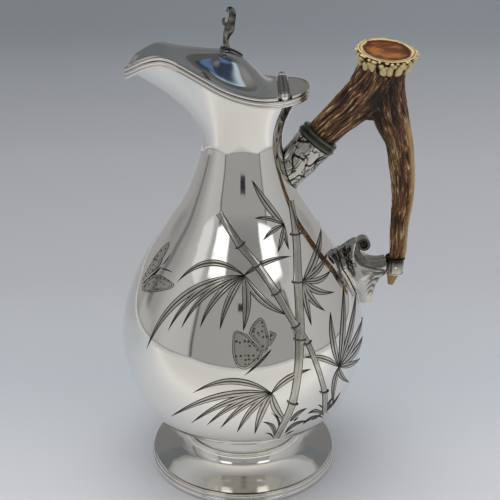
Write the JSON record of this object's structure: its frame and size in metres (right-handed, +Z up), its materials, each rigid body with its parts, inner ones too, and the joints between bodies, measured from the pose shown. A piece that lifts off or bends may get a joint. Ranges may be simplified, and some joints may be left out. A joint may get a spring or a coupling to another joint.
{
  "type": "hot water pot",
  "caption": "Pear-shaped silver-plated hot water jug on a round foot, with a beaked mouth, a hinged hooded lid, a small scroll finial and a forked antler handle.",
  "frame": {"origin": "middle of the bottom of the whole jug's bounding box, on the table", "axes": "+Z up, -X towards the spout, +X towards the handle, Y across the mouth along the hinge"},
  "size_m": [0.1672, 0.142, 0.2723],
  "materials": {
    "silver_plate": "polished silver plate",
    "dark_silver": "oxidised silver plate",
    "antler": "natural stag antler, ridged, polished on the burr's face"
  },
  "bodies": {
    "pot": {"body_shell": "silver_plate", "mouth_wire": "silver_plate", "foot_shell": "silver_plate", "foot_collar_wire": "silver_plate", "foot_base_wire": "silver_plate", "heel_plate": "silver_plate", "heel_wire": "silver_plate", "hinge_knuckle_near": "silver_plate", "hinge_knuckle_middle": "silver_plate", "hinge_knuckle_far": "silver_plate", "hinge_pin": "silver_plate", "hinge_boss_near": "silver_plate", "hinge_boss_far": "silver_plate", "upper_socket": "silver_plate", "upper_socket_band": "dark_silver", "upper_socket_pin": "silver_plate", "antler_handle": "antler", "tine_collar": "silver_plate", "tine_collar_pin": "silver_plate", "bracket_saddle": "silver_plate", "bracket_scroll": "silver_plate"},
    "lid": {"lid_shell": "silver_plate", "lid_wire": "silver_plate", "lid_knuckle_near": "silver_plate", "lid_knuckle_far": "silver_plate", "finial_scroll": "silver_plate", "finial_leaf_foot": "silver_plate", "finial_washer": "silver_plate", "finial_nut": "silver_plate"}
  },
  "joints": [
    {"name": "lid_hinge", "type": "hinge", "parent": "pot", "child": "lid", "pos_m": [0.0094, 0, 0.2303], "axis": [0, 1, 0], "range_deg": [0, 75]}
  ]
}
